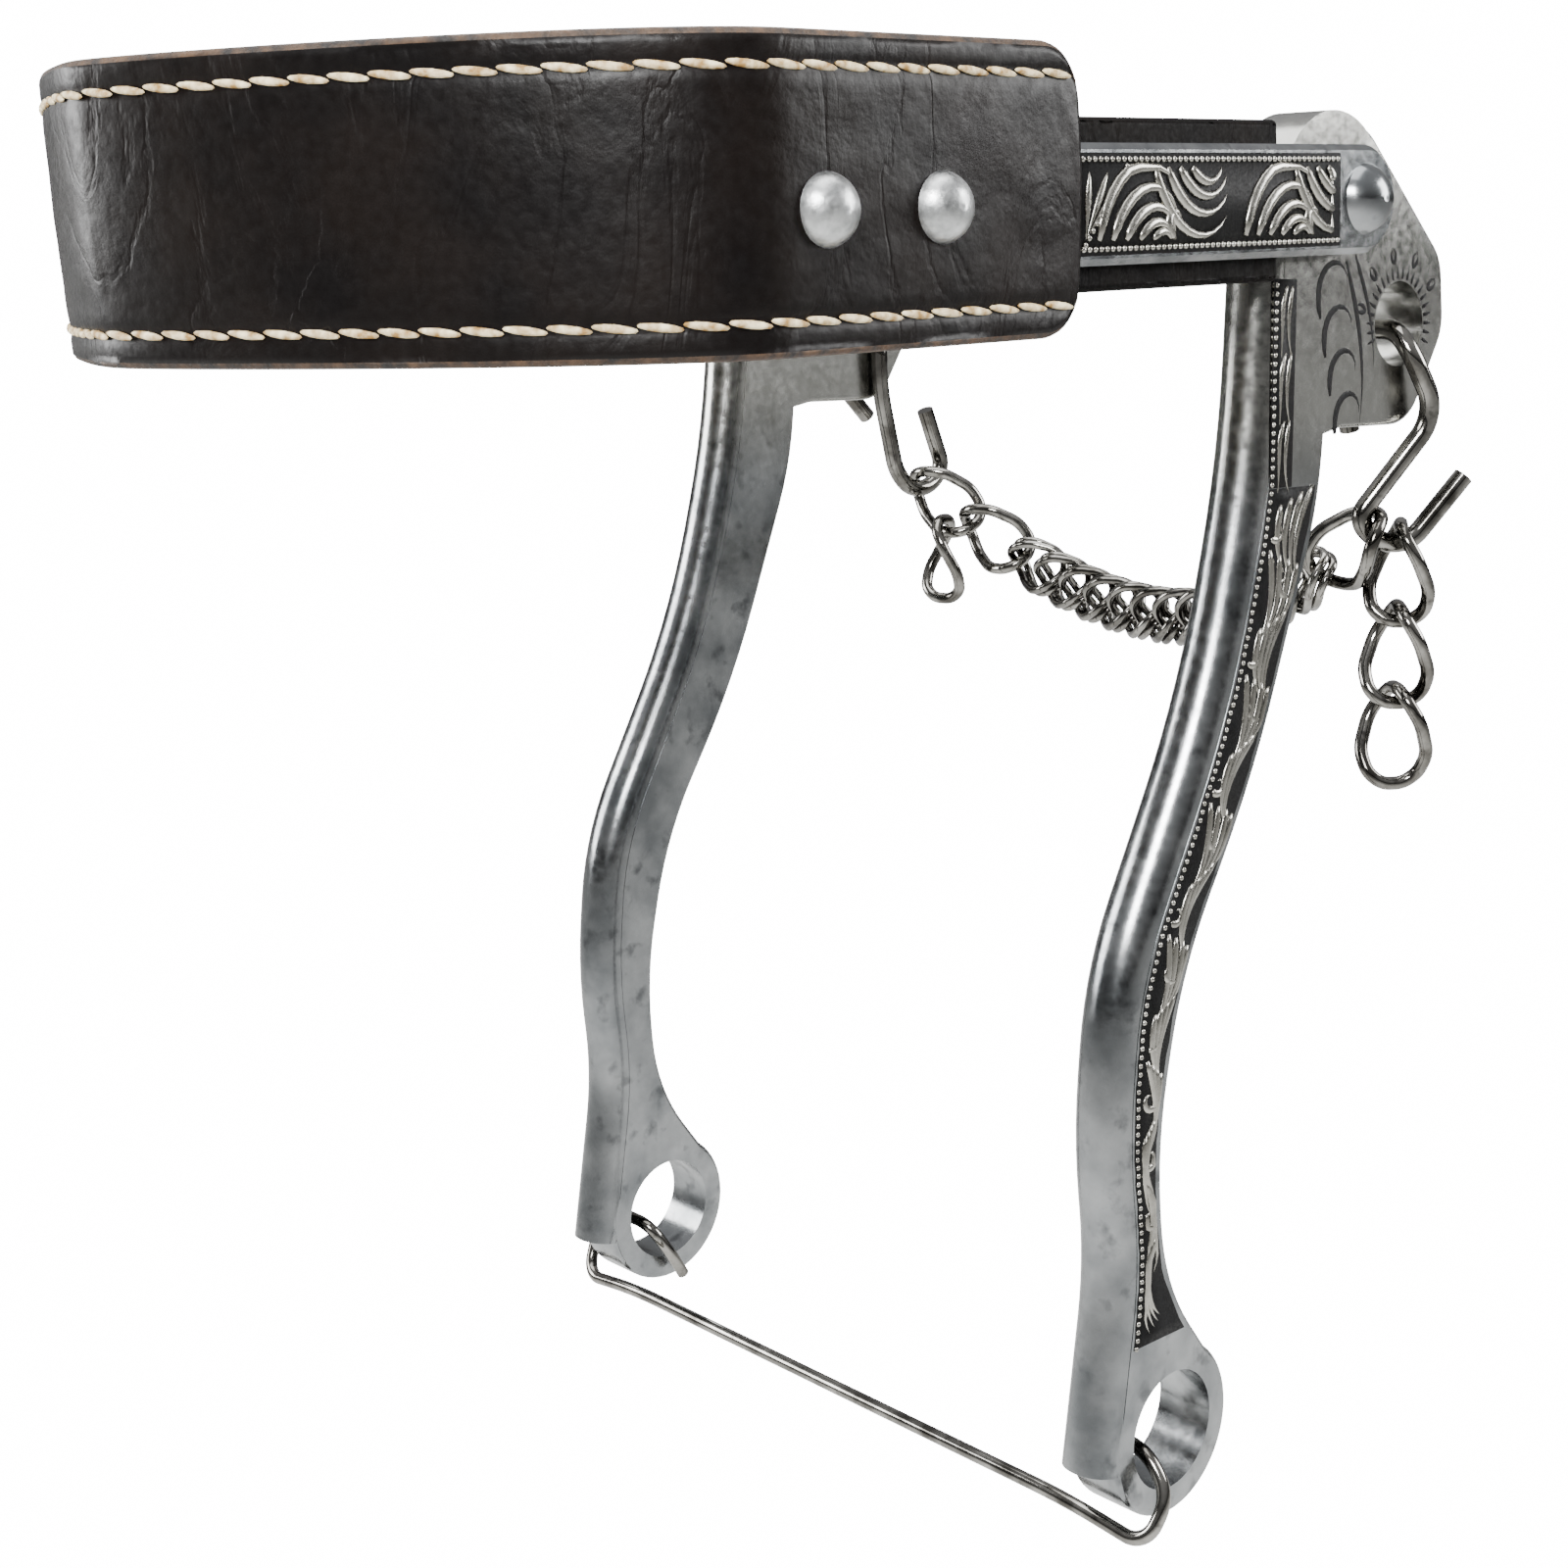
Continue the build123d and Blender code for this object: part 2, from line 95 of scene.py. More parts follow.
def mesh_piece(name: str, points: Sequence[Vector], faces: Sequence[Sequence[int]],
               materials: Sequence[bpy.types.Material], slots: Sequence[int] = ()) -> bpy.types.Object:
    """Make a smooth mesh object at the origin.

    Args:
        name: the piece's name.
        points: corners, in metres.
        faces: corner numbers of each face.
        materials: the piece's materials.
        slots: one material number for each face, or nothing for all 0.
    Returns:
        The linked object.
    """
    mesh = bpy.data.meshes.new(name)
    mesh.from_pydata([tuple(p) for p in points], [], [tuple(f) for f in faces])
    for material in materials:
        mesh.materials.append(material)
    if slots:
        mesh.polygons.foreach_set("material_index", list(slots))
    mesh.shade_smooth()
    mesh.validate()
    piece = bpy.data.objects.new(name, mesh)
    bpy.context.scene.collection.objects.link(piece)
    return piece


def hand_over(piece: bpy.types.Object, body: str, slot: str, *nodes: str) -> None:
    """Give a finished piece its body and hide the CAD nodes it stands for."""
    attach(piece, body)
    if nodes:
        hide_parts(*nodes)
    LOG.info("%s rides on %s, %d faces", piece.name, body, len(piece.data.polygons))


# ---- Finishes -----------------------------------------------------------------------------------------
@dataclass(frozen=True)
class Finish:
    """A mottled surface with grain: what every material here has in common."""

    name: str
    light: str
    dark: str
    metallic: float
    roughness: tuple[float, float]
    mottle_mm: float
    grain_mm: float
    grain_depth_mm: float
    crease_mm: float = 0.0
    crease_depth_mm: float = 0.0
    coat: float = 0.0
    patch: str = ""
    specular: float = 0.5
    head: str = ""
    head_from_mm: float = -44.0

    def build(self) -> bpy.types.Material:
        """Make the material.

        Returns:
            A node material on object coordinates.
        """
        material = bpy.data.materials.new(self.name)
        material.use_nodes = True
        tree = material.node_tree
        shader = tree.nodes["Principled BSDF"]
        place = add_node(tree, "ShaderNodeTexCoord").outputs["Object"]
        mottle = self.noise(tree, place, self.mottle_mm, 4.0)
        grain = self.noise(tree, place, self.grain_mm, 3.0)
        blend = add_node(tree, "ShaderNodeMapRange", {0: mottle, 1: 0.35, 2: 0.68})
        colour = add_node(tree, "ShaderNodeMix", {0: blend.outputs[0], 6: linear(self.dark),
                                                  7: linear(self.light)}, data_type="RGBA").outputs[2]
        if self.patch:
            wear = self.noise(tree, place, self.mottle_mm * 0.37, 6.0)
            mask = add_node(tree, "ShaderNodeMapRange", {0: wear, 1: 0.57, 2: 0.72, 4: 0.75})
            colour = add_node(tree, "ShaderNodeMix", {0: mask.outputs[0], 6: colour,
                                                      7: linear(self.patch)}, data_type="RGBA").outputs[2]
        if self.head:
            height = add_node(tree, "ShaderNodeSeparateXYZ", {0: place}).outputs[2]
            above = add_node(tree, "ShaderNodeMapRange", {0: height, 1: (self.head_from_mm - 9.0) * MM,
                                                          2: (self.head_from_mm + 9.0) * MM,
                                                          4: 0.7}).outputs[0]
            colour = add_node(tree, "ShaderNodeMix", {0: above, 6: colour, 7: linear(self.head)},
                              data_type="RGBA").outputs[2]
        tree.links.new(colour, shader.inputs["Base Color"])
        rough = add_node(tree, "ShaderNodeMapRange", {0: grain, 1: 0.3, 2: 0.7, 3: self.roughness[0],
                                                      4: self.roughness[1]})
        tree.links.new(rough.outputs[0], shader.inputs["Roughness"])
        shader.inputs["Metallic"].default_value = self.metallic
        shader.inputs["Coat Weight"].default_value = self.coat
        shader.inputs["Coat Roughness"].default_value = 0.3
        shader.inputs["Specular IOR Level"].default_value = self.specular
        bump = add_node(tree, "ShaderNodeBump", {"Height": grain, "Strength": 0.7,
                                                 "Distance": self.grain_depth_mm * MM})
        if self.crease_mm:
            bump = self.creases(tree, place, bump)
        tree.links.new(bump.outputs[0], shader.inputs["Normal"])
        return material

    def noise(self, tree: bpy.types.NodeTree, place: bpy.types.NodeSocket, size_mm: float,
              detail: float) -> bpy.types.NodeSocket:
        """Noise whose blotches are about size_mm across."""
        scale = 1.0 / (size_mm * MM)
        node = add_node(tree, "ShaderNodeTexNoise", {"Vector": place, "Scale": scale, "Detail": detail})
        return node.outputs[0]

    def creases(self, tree: bpy.types.NodeTree, place: bpy.types.NodeSocket,
                under: bpy.types.Node) -> bpy.types.Node:
        """Fold lines that wander across the grain: thin valleys of a warped noise.

        Args:
            tree: the material's tree.
            place: the coordinates.
            under: the bump that the creases lie on.
        Returns:
            The joined bump node.
        """
        slanted = add_node(tree, "ShaderNodeMapping", {"Vector": place, "Rotation": (0.5, 0.7, 0.3),
                                                       "Scale": (1.0, 1.0, 0.42)}).outputs[0]
        warp = add_node(tree, "ShaderNodeTexNoise", {"Vector": slanted, "Detail": 5.0,
                                                     "Scale": 1.0 / (self.crease_mm * MM),
                                                     "Distortion": 1.3}).outputs[0]
        away = add_node(tree, "ShaderNodeMath", {0: warp, 1: 0.5}, operation="SUBTRACT").outputs[0]
        line = add_node(tree, "ShaderNodeMath", {0: away}, operation="ABSOLUTE").outputs[0]
        valley = add_node(tree, "ShaderNodeMapRange", {0: line, 1: 0.0, 2: 0.035}).outputs[0]
        return add_node(tree, "ShaderNodeBump", {"Height": valley, "Strength": 0.8,
                                                 "Distance": self.crease_depth_mm * MM,
                                                 "Normal": under.outputs[0]})


# Oiled bridle leather, vat dyed nearly black: low sheen, fine pores, and creases where it was bent.
BRIDLE_LEATHER = Finish("bridle_leather", "#0d0806", "#040202", 0.0, (0.34, 0.46), 16.0, 1.5, 0.12,
                        crease_mm=17.0, crease_depth_mm=0.06, specular=0.16)
# The cut edges of the straps: undyed tan fibres showing through the edge dye.
CUT_EDGE = Finish("cut_leather_edge", "#4a3420", "#120c08", 0.0, (0.6, 0.8), 2.4, 0.5, 0.2)
LINING_LEATHER = Finish("lining_leather", "#0d0a08", "#040303", 0.0, (0.5, 0.7), 12.0, 0.8, 0.1,
                        crease_mm=22.0, crease_depth_mm=0.08, specular=0.06)
# Waxed linen thread, cream gone gold with wear.
WAXED_THREAD = Finish("waxed_thread", "#f3e4bb", "#8f6d38", 0.0, (0.55, 0.75), 1.6, 0.35, 0.12)
# Cast and tumbled German silver: grey with dull bare patches and casting pits.
CAST_METAL = Finish("tumbled_cast_metal", "#9b9d9e", "#6d7072", 1.0, (0.17, 0.26), 12.0, 1.6, 0.025,
                    patch="#4a4c4e")
# The same casting with its head polished for engraving.
ENGRAVED_METAL = Finish("engraved_cast_metal", "#9b9d9e", "#6d7072", 1.0, (0.17, 0.26), 12.0, 1.6, 0.025,
                        patch="#4a4c4e", head="#a9a8a2")
# Black oxide left in the cut ground between the scrolls.
OXIDE_GROUND = Finish("oxide_ground", "#0c0c0d", "#030303", 0.0, (0.5, 0.7), 3.0, 0.5, 0.05,
                      specular=0.15)
# Scroll tops rubbed bright over the oxide.
RUBBED_SCROLL = Finish("rubbed_scroll", "#b3b1aa", "#8b8982", 1.0, (0.2, 0.3), 6.0, 0.8, 0.01)
# Nickel plate on drawn wire: nearly a mirror.
NICKEL_PLATE = Finish("nickel_plate", "#92908b", "#4b4945", 1.0, (0.07, 0.14), 6.0, 1.4, 0.01,
                      patch="#3b3936")
# Dull plated steel heads of the rivets.
DULL_RIVET = Finish("dull_rivet_head", "#cfd1d1", "#9b9d9d", 1.0, (0.3, 0.42), 2.5, 0.6, 0.05)


# ---- Rows of small things along a line ----------------------------------------------------------------
@dataclass
class RowMaker:
    """Puts grains along lines: stitches, or the beads of a milled border."""

    tree: bpy.types.NodeTree | None = None

    def build_tree(self) -> bpy.types.NodeTree:
        """Make the node tree once.

        Returns:
            A tree with named inputs for the grain's size, spacing, slant and material.
        """
        if self.tree:
            return self.tree
        tree = bpy.data.node_groups.new("grains_along_lines", "GeometryNodeTree")
        face = tree.interface
        face.new_socket("Lines", in_out="INPUT", socket_type="NodeSocketGeometry")
        for name in ("Spacing", "Length", "Width", "Height", "Slant"):
            face.new_socket(name, in_out="INPUT", socket_type="NodeSocketFloat")
        face.new_socket("Material", in_out="INPUT", socket_type="NodeSocketMaterial")
        face.new_socket("Grains", in_out="OUTPUT", socket_type="NodeSocketGeometry")
        given = add_node(tree, "NodeGroupInput").outputs
        curve = add_node(tree, "GeometryNodeMeshToCurve", {0: given["Lines"]}).outputs[0]
        resample = add_node(tree, "GeometryNodeResampleCurve", mode="LENGTH")
        tree.links.new(curve, resample.inputs["Curve"])
        tree.links.new(given["Spacing"], resample.inputs["Length"])
        points = add_node(tree, "GeometryNodeCurveToPoints", {0: resample.outputs[0]}, mode="EVALUATED")
        turn = add_node(tree, "FunctionNodeAlignRotationToVector", {"Vector": points.outputs["Tangent"]},
                        axis="X").outputs[0]
        euler = add_node(tree, "ShaderNodeCombineXYZ", {"Y": given["Slant"]}).outputs[0]
        lean = add_node(tree, "FunctionNodeEulerToRotation", {0: euler}).outputs[0]
        turn = add_node(tree, "FunctionNodeRotateRotation", {0: turn, 1: lean},
                        rotation_space="LOCAL").outputs[0]
        ball = add_node(tree, "GeometryNodeMeshIcoSphere", {"Radius": 0.5, "Subdivisions": 2}).outputs[0]
        size = add_node(tree, "ShaderNodeCombineXYZ", {"X": given["Length"], "Y": given["Width"],
                                                       "Z": given["Height"]}).outputs[0]
        placed = add_node(tree, "GeometryNodeInstanceOnPoints",
                          {"Points": points.outputs["Points"], "Instance": ball, "Rotation": turn,
                           "Scale": size}).outputs[0]
        real = add_node(tree, "GeometryNodeRealizeInstances", {0: placed}).outputs[0]
        smooth = add_node(tree, "GeometryNodeSetShadeSmooth", {0: real}).outputs[0]
        dressed = add_node(tree, "GeometryNodeSetMaterial", {"Geometry": smooth,
                                                             "Material": given["Material"]}).outputs[0]
        add_node(tree, "NodeGroupOutput", {0: dressed})
        self.tree = tree
        return tree

    def make(self, name: str, lines: Sequence[Sequence[Vector]], material: bpy.types.Material,
             sizes_mm: dict[str, float]) -> bpy.types.Object:
        """Make one plain mesh of grains along all the lines.

        Args:
            name: the piece's name.
            lines: runs of points in metres.
            material: the grains' material.
            sizes_mm: Spacing, Length, Width and Height in millimetres, and Slant in degrees.
        Returns:
            The finished object, with no modifier on it.
        """
        tree = self.build_tree()
        points = [p for line in lines for p in line]
        edges = []
        start = 0
        for line in lines:
            edges += [(start + i, start + i + 1) for i in range(len(line) - 1)]
            start += len(line)
        guide_mesh = bpy.data.meshes.new(name + "_guide")
        guide_mesh.from_pydata([tuple(p) for p in points], edges, [])
        guide = bpy.data.objects.new(name + "_guide", guide_mesh)
        bpy.context.scene.collection.objects.link(guide)
        modifier = guide.modifiers.new("grains", "NODES")
        modifier.node_group = tree
        for item in tree.interface.items_tree:
            if item.in_out == "INPUT" and item.name in sizes_mm:
                factor = math.radians(1) if item.name == "Slant" else MM
                modifier[item.identifier] = sizes_mm[item.name] * factor
            elif item.in_out == "INPUT" and item.name == "Material":
                modifier[item.identifier] = material
        graph = bpy.context.evaluated_depsgraph_get()
        mesh = bpy.data.meshes.new_from_object(guide.evaluated_get(graph))
        mesh.name = name
        bpy.data.objects.remove(guide)
        piece = bpy.data.objects.new(name, mesh)
        bpy.context.scene.collection.objects.link(piece)
        return piece


ROWS = RowMaker()


# ---- Noseband -----------------------------------------------------------------------------------------
@dataclass
class Noseband:
    """Three layers of leather bent round the nose, with two rows of stitches."""

    half_width: float = 79.8
    bend_start: float = 130.8
    nose: float = 187.0
    bend_pull: float = 26.0
    nose_flat: float = 14.0
    lean: float = 3.4
    back_end: float = 76.0
    height: float = 41.0
    rise: float = 2.0
    drop: float = 2.2
    corner: float = 7.0
    outer_thickness: float = 3.3
    core_thickness: float = 3.2
    lining_thickness: float = 2.5
    tail_end: float = 20.5
    tail_height: float = 25.4
    stitch_inset: float = 4.6
    crown: float = 0.45
    groove_width: float = 0.9
    broad_wave: float = 0.22
    fine_wave: float = 0.10

    def dip(self, x: float, y: float, z: float) -> Vector:
        """Tip a level point towards the nose and turn it to metres."""
        turn = math.radians(self.drop)
        return Vector((x, y * math.cos(turn) - z * math.sin(turn),
                       y * math.sin(turn) + z * math.cos(turn))) * MM

    def stations(self, back_end: float, step: float = 1.5) -> list[tuple[str, float]]:
        """Places along the band from its right end to its left end.

        Args:
            back_end: how far in front of the pivot both ends are.
            step: about the distance between two places.
        Returns:
            Pairs: R or L with a distance in front of the pivot, or N with a share of the bend.
        """
        run = self.bend_start - back_end
        count = max(4, round(run / step))
        ends = [back_end + run * (i / count) ** 1.3 for i in range(count)]
        bend_count = 110
        bend = [("N", i / bend_count) for i in range(bend_count + 1)]
        return [("R", d) for d in ends] + bend + [("L", d) for d in reversed(ends)]

    def point(self, station: tuple[str, float], inset: float, z: float) -> tuple[float, float]:
        """Level X and Y of a layer's surface.

        Args:
            station: a place from stations.
            inset: depth below the outer face.
            z: level height.
        Returns:
            X and Y in millimetres.
        """
        kind, value = station
        half = self.half_width - inset
        if kind != "N":
            return (-half if kind == "R" else half), -value
        share = (z - self.rise) / self.height + 0.5
        nose = self.nose - inset - self.lean * (1 - share)
        side = -1 if value < 0.5 else 1
        t = 1 - abs(2 * value - 1)
        across = (half, half, self.nose_flat, 0.0)
        ahead = (self.bend_start, self.bend_start + self.bend_pull, nose, nose)
        weights = ((1 - t) ** 3, 3 * t * (1 - t) ** 2, 3 * t * t * (1 - t), t ** 3)
        x = sum(w * p for w, p in zip(weights, across))
        y = sum(w * p for w, p in zip(weights, ahead))
        return side * x, -y

    def limits(self, station: tuple[str, float], back_end: float, tail: bool) -> tuple[float, float]:
        """Lowest and highest level Z of a layer at a station."""
        half = self.height / 2
        kind, value = station
        if kind == "N":
            return self.rise - half, self.rise + half
        corner_end = self.back_end if tail else back_end
        into = value - corner_end
        if tail and into < 0:
            blend = min(1.0, -into / 3.0)
            low = (self.rise - half + self.corner) * (1 - blend) - self.tail_height / 2 * blend
            high = (self.rise + half - self.corner) * (1 - blend) + self.tail_height / 2 * blend
            return low, high
        if into < self.corner:
            cut = self.corner - math.sqrt(max(0.0, self.corner ** 2 - (self.corner - into) ** 2))
            return self.rise - half + cut, self.rise + half - cut
        return self.rise - half, self.rise + half

    def section(self, thickness: float) -> list[tuple[float, float, int]]:
        """One loop round a strap: share of the height, depth, and material.

        Args:
            thickness: of the strap.
        Returns:
            (height share 0 to 1, depth, material number) round the loop, outside face first.
        """
        rows = 44
        loop = [(i / rows, 0.0, 0) for i in range(1, rows)]
        steps = 5
        for i in range(steps + 1):
            turn = math.pi * i / steps
            loop.append((1.0, thickness * (0.5 - 0.5 * math.cos(turn)), 1))
        loop += [(1 - i / 10, thickness, 0) for i in range(1, 10)]
        for i in range(steps + 1):
            turn = math.pi * i / steps
            loop.append((0.0, thickness * (0.5 + 0.5 * math.cos(turn)), 1))
        return loop

    def strap(self, name: str, inset: float, thickness: float, back_end: float, crown: float,
              materials: Sequence[bpy.types.Material], tail: bool = False) -> bpy.types.Object:
        """Make one layer as a closed, softly crowned strap.

        Args:
            name: the piece's name.
            inset: depth of its outer face.
            thickness: of the layer.
            back_end: where it ends in front of the pivot.
            crown: how far its faces bulge.
            materials: face and edge materials.
            tail: whether narrow tails run on past the other layers.
        Returns:
            The object.
        """
        stations = self.stations(back_end)
        loop = self.section(thickness)
        points = []
        for along, station in enumerate(stations):
            low, high = self.limits(station, back_end, tail)
            for share, depth, kind in loop:
                edge_round = 0.0
                if kind == 1:
                    middle = 1 - (2 * depth / thickness - 1) ** 2
                    edge_round = 0.9 * (1 - math.sqrt(max(0.0, middle)))
                z = low + (high - low) * share
                z += edge_round if share == 0.0 else (-edge_round if share == 1.0 else 0.0)
                bulge = crown * (1 - (2 * share - 1) ** 2)
                if kind == 0 and depth == 0.0:
                    for row in (self.rise - self.height / 2 + self.stitch_inset,
                                self.rise + self.height / 2 - self.stitch_inset):
                        bulge -= 0.5 * crown / self.crown * math.exp(-((z - row) / self.groove_width) ** 2)
                    bulge += self.broad_wave * noise.noise(Vector((along * 0.11, z * 0.09, inset)))
                    bulge += self.fine_wave * noise.noise(Vector((along * 0.45, z * 0.25, inset + 7)))
                    real_depth = inset - bulge
                elif kind == 0:
                    real_depth = inset + depth + 0.3 * bulge
                else:
                    real_depth = inset + depth
                x, y = self.point(station, real_depth, z)
                points.append(self.dip(x, y, z))
        size = len(loop)
        faces = []
        slots = []
        for i in range(len(stations) - 1):
            for j in range(size):
                k = (j + 1) % size
                faces.append((i * size + j, i * size + k, (i + 1) * size + k, (i + 1) * size + j))
                slots.append(1 if loop[j][2] == 1 or loop[k][2] == 1 else 0)
        last = (len(stations) - 1) * size
        faces.append(tuple(range(size))[::-1])
        faces.append(tuple(last + j for j in range(size)))
        slots += [1, 1]
        piece = mesh_piece(name, points, faces, materials, slots)
        recalculate_outwards(piece)
        return piece

    def stitch_line(self, z: float, inset: float, back_end: float) -> list[Vector]:
        """A row of stitches, as points along the band."""
        return [self.dip(*self.point(s, inset, z), z) for s in self.stations(back_end, 1.0)]

    def build(self) -> None:
        """Make the straps and the stitches."""
        leather = BRIDLE_LEATHER.build()
        lining = LINING_LEATHER.build()
        edge = CUT_EDGE.build()
        thread = WAXED_THREAD.build()
        core_inset = self.outer_thickness
        lining_inset = core_inset + self.core_thickness
        outer = self.strap("outer_strap", 0.0, self.outer_thickness, self.back_end, self.crown,
                           (leather, edge))
        hand_over(outer, "noseband", "leather", "noseband_leather")
        core = self.strap("filler_strap", core_inset - 0.15, self.core_thickness + 0.3,
                          self.back_end + 2.5, 0.0, (lining, edge))
        hand_over(core, "noseband", "lining_leather", "noseband_core")
        inner = self.strap("lining_strap", lining_inset, self.lining_thickness, self.tail_end, 0.1,
                           (lining, lining), tail=True)
        hand_over(inner, "noseband", "lining_leather", "noseband_lining")
        rows = (self.rise + self.height / 2 - self.stitch_inset,
                self.rise - self.height / 2 + self.stitch_inset)
        depths = (-0.05, lining_inset + self.lining_thickness + 0.1)
        lines = [self.stitch_line(z, depth, self.back_end + 4.5) for z in rows for depth in depths]
        stitches = ROWS.make("stitches", lines, thread,
                             {"Spacing": 5.6, "Length": 6.2, "Width": 1.0, "Height": 1.15, "Slant": 7.0})
        hand_over(stitches, "noseband", "leather")


def recalculate_outwards(piece: bpy.types.Object) -> None:
    """Turn a closed mesh's faces outwards."""
    work = bmesh.new()
    work.from_mesh(piece.data)
    bmesh.ops.recalc_face_normals(work, faces=work.faces)
    work.to_mesh(piece.data)
    work.free()


# ---- Engraving ----------------------------------------------------------------------------------------
Place = Callable[[float, float, float], Vector]
Keep = Callable[[float, float], tuple[float, float]]


@dataclass
class Relief:
    """Collects leaves, lines and panels on one flat face, and makes one mesh of each kind."""

    place: Place
    points: list[Vector]
    faces: list[tuple[int, ...]]
    keep: Keep | None = None

    def leaf(self, path: Sequence[tuple[float, float]], width: float, height: float,
             blunt: float = 0.55) -> None:
        """A tapered, crowned stroke with a rounded belly.

        Args:
            path: points of its spine in the face, in millimetres.
            width: widest place.
            height: rise above the face.
            blunt: below 1 the widest place moves towards the start.
        """
        count = len(path)
        base = len(self.points)
        for i, (u, v) in enumerate(path):
            before = path[max(0, i - 1)]
            after = path[min(count - 1, i + 1)]
            du, dv = after[0] - before[0], after[1] - before[1]
            size = math.hypot(du, dv) or 1.0
            nu, nv = -dv / size, du / size
            share = (i + 0.35) / (count - 0.3)
            half = 0.5 * width * math.sin(math.pi * min(1.0, share) ** blunt)
            half = max(half, 0.04)
            rise = height * (half / (0.5 * width)) ** 0.5
            for side, up in ((-1, -0.05), (-0.62, rise * 0.72), (0, rise), (0.62, rise * 0.72), (1, -0.05)):
                self.points.append(self.place(u + nu * half * side, v + nv * half * side, up))
        for i in range(count - 1):
            a = base + i * 5
            for j in range(4):
                self.faces.append((a + j, a + j + 1, a + j + 6, a + j + 5))
            self.faces.append((a + 4, a, a + 5, a + 9))
        self.faces.append((base, base + 4, base + 3, base + 2, base + 1))
        end = base + (count - 1) * 5
        self.faces.append((end, end + 1, end + 2, end + 3, end + 4))

    def comma(self, u: float, v: float, heading: float, length: float, curl: float, width: float,
              height: float) -> None:
        """A leaf whose heading turns steadily, ending in a curl.

        Args:
            u: start across the face.
            v: start along the face.
            heading: first direction in degrees.
            length: along its spine.
            curl: total turn in degrees.
            width: widest place.
            height: rise above the face.
        """
        steps = 11
        path = [(u, v)]
        for i in range(steps):
            share = (i + 0.5) / steps
            turn = math.radians(heading + curl * share ** 1.6)
            u += math.cos(turn) * length / steps
            v += math.sin(turn) * length / steps
            path.append((u, v))
        if self.keep:
            path = [self.keep(*point) for point in path]
        self.leaf(path, width, height)

    def panel(self, rim: Sequence[tuple[float, float, float, float]], height: float) -> None:
        """A thin plate between two lines.

        Args:
            rim: (u, v) of one side and (u, v) of the other, station by station.
            height: its thickness.
        """
        base = len(self.points)
        for u0, v0, u1, v1 in rim:
            for u, v, up in ((u0, v0, -0.05), (u0, v0, height), (u1, v1, height), (u1, v1, -0.05)):
                self.points.append(self.place(u, v, up))
        for i in range(len(rim) - 1):
            a = base + 4 * i
            for j in range(4):
                k = (j + 1) % 4
                self.faces.append((a + j, a + k, a + 4 + k, a + 4 + j))
        end = base + 4 * (len(rim) - 1)
        self.faces.append((base + 3, base + 2, base + 1, base))
        self.faces.append((end, end + 1, end + 2, end + 3))

    def finish(self, name: str, material: bpy.types.Material, body: str, slot: str) -> None:
        """Make the mesh and hand it over."""
        piece = mesh_piece(name, self.points, self.faces, [material])
        recalculate_outwards(piece)
        hand_over(piece, body, slot)


def relief(place: Place, keep: Keep | None = None) -> Relief:
    """An empty relief on a face, whose scrolls stay where keep puts them."""
    return Relief(place, [], [], keep)


@dataclass(frozen=True)
class Fan:
    """Leaves that spring one behind the other from a border, with the length and width of each."""

    leaves: tuple[tuple[float, float], ...]
    gap: float
    heading: float
    spread: float
    curl: float
    rise: float = 0.8

    def grow(self, scroll: Relief, u: float, v: float) -> None:
        """Add the fan to a relief, with its first root at u and v."""
        for k, (length, width) in enumerate(self.leaves):
            scroll.comma(u - self.gap * k, v, self.heading + self.spread * k, length, self.curl, width,
                         self.rise)


RISING_FAN = Fan(((27.0, 2.5), (21.5, 2.4), (16.0, 2.3), (10.5, 2.1), (6.0, 1.7)), 3.1, 108.0, 8.0, 150.0)
FALLING_FAN = Fan(((23.0, 2.3), (18.5, 2.3), (14.0, 2.2), (9.0, 2.0)), 2.9, -112.0, -8.0, -120.0)


